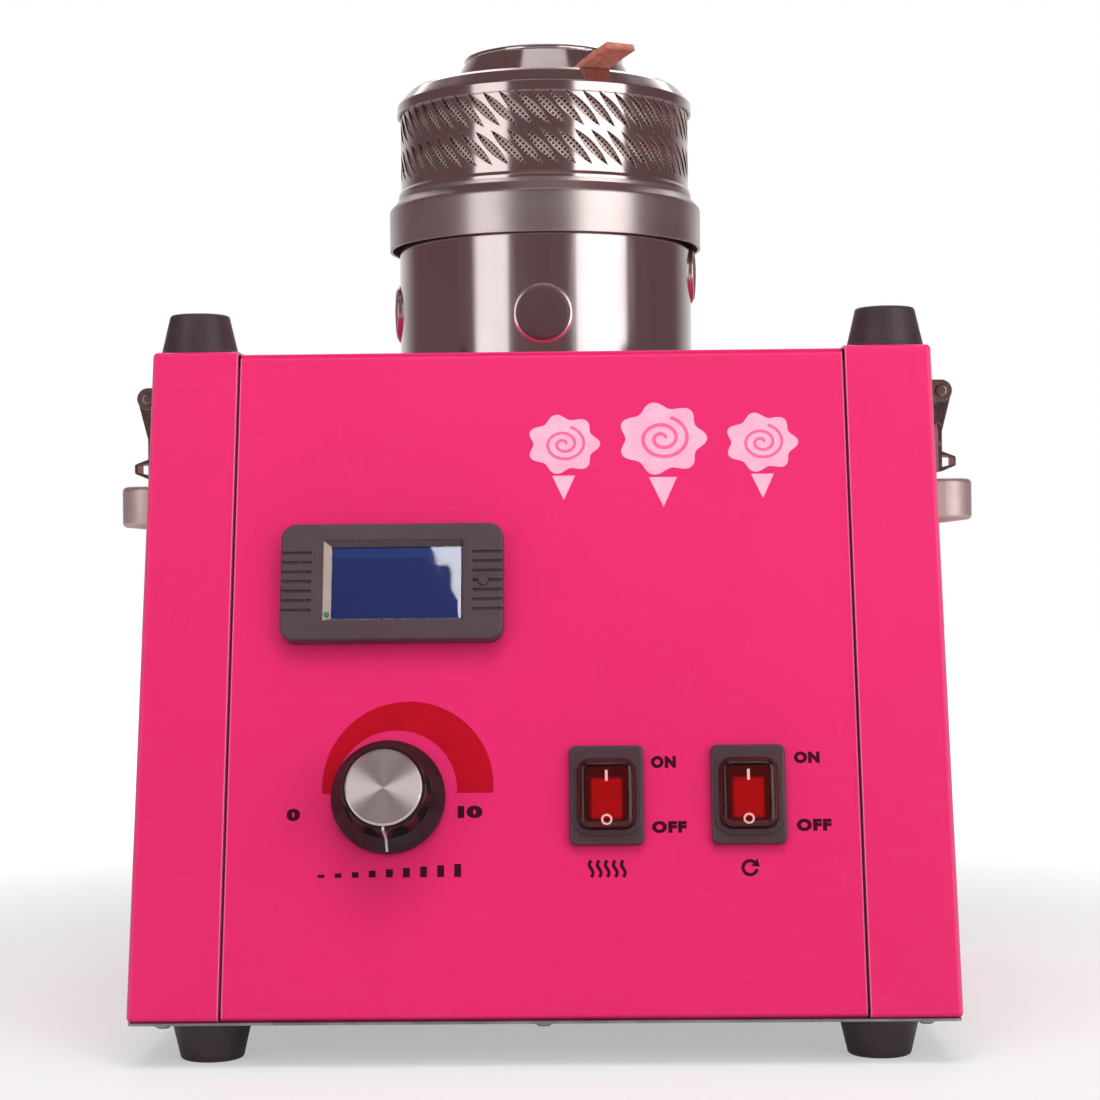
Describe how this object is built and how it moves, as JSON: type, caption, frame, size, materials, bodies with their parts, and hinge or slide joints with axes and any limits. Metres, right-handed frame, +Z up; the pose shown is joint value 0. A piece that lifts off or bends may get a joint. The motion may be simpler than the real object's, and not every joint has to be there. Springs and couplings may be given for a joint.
{
  "type": "candy-floss machine",
  "caption": "Table-top electric candy-floss machine: pink sheet-metal cabinet with a leaning control face, side handles and latches, and a perforated steel spinner head on top.",
  "frame": {"origin": "middle of the object's box, at the height of the surface that the feet stand on", "axes": "+Z up, the control face looks along -Y and leans back, +X to the right as seen by the person working the controls"},
  "size_m": [0.375, 0.3278, 0.4238],
  "materials": {
    "pink_paint": "semi-gloss powder coat, bright pink",
    "zinc_sheet": "bright zinc plate",
    "dark_rubber": "matt black-brown rubber",
    "plated_screw": "bright zinc plated",
    "satin_aluminium": "satin anodised",
    "latch_nickel": "bright nickel",
    "latch_steel": "dark nickel plated steel",
    "meter_plastic": "fine-grained black moulding",
    "display_glass": "clear window over a dark blue display",
    "circuit_board": "green solder mask",
    "knob_plastic": "glossy black phenolic",
    "spun_aluminium": "radially spun face",
    "switch_plastic": "matt brown-black moulding",
    "boot_rubber": "dark red translucent silicone",
    "rocker_red": "glossy translucent red",
    "machined_steel": "turned steel",
    "polished_steel": "polished stainless steel",
    "brushed_steel": "stainless steel with a fine turned grain",
    "woven_steel": "fine woven stainless mesh",
    "cast_aluminium": "cast and machined",
    "motor_paint": "black enamel",
    "core_steel": "varnished steel laminations",
    "fan_plastic": "black moulding",
    "contact_brass": "bright brass",
    "carbon": "pressed carbon",
    "spring_steel": "spring wire",
    "heater_sheath": "oxidised tube",
    "tan_leather": "pink-brown leather with cut edges",
    "inlet_plastic": "black moulding"
  },
  "bodies": {
    "cabinet": {"base_plate": "zinc_sheet", "feet": "dark_rubber", "foot_bolts": "plated_screw", "bumpers": "dark_rubber", "front_panel": "pink_paint", "rear_panel": "pink_paint", "top_plate": "pink_paint", "left_cover": "pink_paint", "right_cover": "pink_paint", "cabinet_screws": "plated_screw", "handles": "satin_aluminium", "handle_screws": "plated_screw", "latch_bases": "latch_nickel", "latch_rivets": "latch_nickel", "meter_case": "meter_plastic", "meter_glass": "display_glass", "meter_board": "circuit_board", "switch_frames": "switch_plastic", "switch_boots": "boot_rubber", "switch_bodies": "switch_plastic", "heat_control": "machined_steel", "motor_can": "polished_steel", "port_caps": "polished_steel", "bearing_plate": "cast_aluminium", "bearings": "machined_steel", "motor_plate": "cast_aluminium", "motor_housing": "motor_paint", "motor_stator": "core_steel", "motor_bolts": "plated_screw", "brush_holders": "switch_plastic", "brushes": "carbon", "brush_springs": "spring_steel", "control_board": "circuit_board", "heatsink": "cast_aluminium", "board_posts": "plated_screw", "mains_inlet": "inlet_plastic", "inlet_pins": "contact_brass"},
    "knob": {"heat_knob": "knob_plastic", "knob_cap": "spun_aluminium", "control_shaft": "machined_steel"},
    "heat_switch": {"heat_rocker": "rocker_red"},
    "motor_switch": {"motor_rocker": "rocker_red"},
    "button": {"meter_button": "meter_plastic"},
    "left_latch": {"left_latch_lever": "latch_steel"},
    "right_latch": {"right_latch_lever": "latch_steel"},
    "head": {"drive_shaft": "machined_steel", "slip_ring_hub": "switch_plastic", "slip_rings": "contact_brass", "motor_rotor": "core_steel", "cooling_fan": "fan_plastic", "head_pan": "brushed_steel", "mesh_band": "brushed_steel", "mesh_screen": "woven_steel", "heater_element": "heater_sheath", "head_lid": "brushed_steel", "lid_bolts": "brushed_steel", "leather_tabs": "tan_leather", "tab_rivets": "brushed_steel", "hub_nut": "machined_steel"}
  },
  "joints": [
    {"name": "head_spin", "type": "hinge", "parent": "cabinet", "child": "head", "pos_m": [0, 0.03506, 0.3593], "axis": [0, 0, 1], "continuous": true},
    {"name": "knob_turn", "type": "hinge", "parent": "cabinet", "child": "knob", "pos_m": [-0.06, -0.1365, 0.10096], "axis": [0, 0.966, -0.2585], "range_deg": [0, 270]},
    {"name": "heat_rocker_tilt", "type": "hinge", "parent": "cabinet", "child": "heat_switch", "pos_m": [0.0248, -0.1336, 0.10018], "axis": [-1, 0, 0], "range_deg": [0, 16]},
    {"name": "motor_rocker_tilt", "type": "hinge", "parent": "cabinet", "child": "motor_switch", "pos_m": [0.0798, -0.1336, 0.10018], "axis": [-1, 0, 0], "range_deg": [0, 16]},
    {"name": "meter_button_press", "type": "slide", "parent": "cabinet", "child": "button", "axis": [0, 0.966, -0.2585], "range_m": [0, 0.0006], "stiffness_N_per_m": 300},
    {"name": "left_latch_swing", "type": "hinge", "parent": "cabinet", "child": "left_latch", "pos_m": [-0.1698, -0.03394, 0.264], "axis": [0, 1, 0], "range_deg": [0, 150]},
    {"name": "right_latch_swing", "type": "hinge", "parent": "cabinet", "child": "right_latch", "pos_m": [0.1698, -0.03394, 0.264], "axis": [0, -1, 0], "range_deg": [0, 150]}
  ]
}
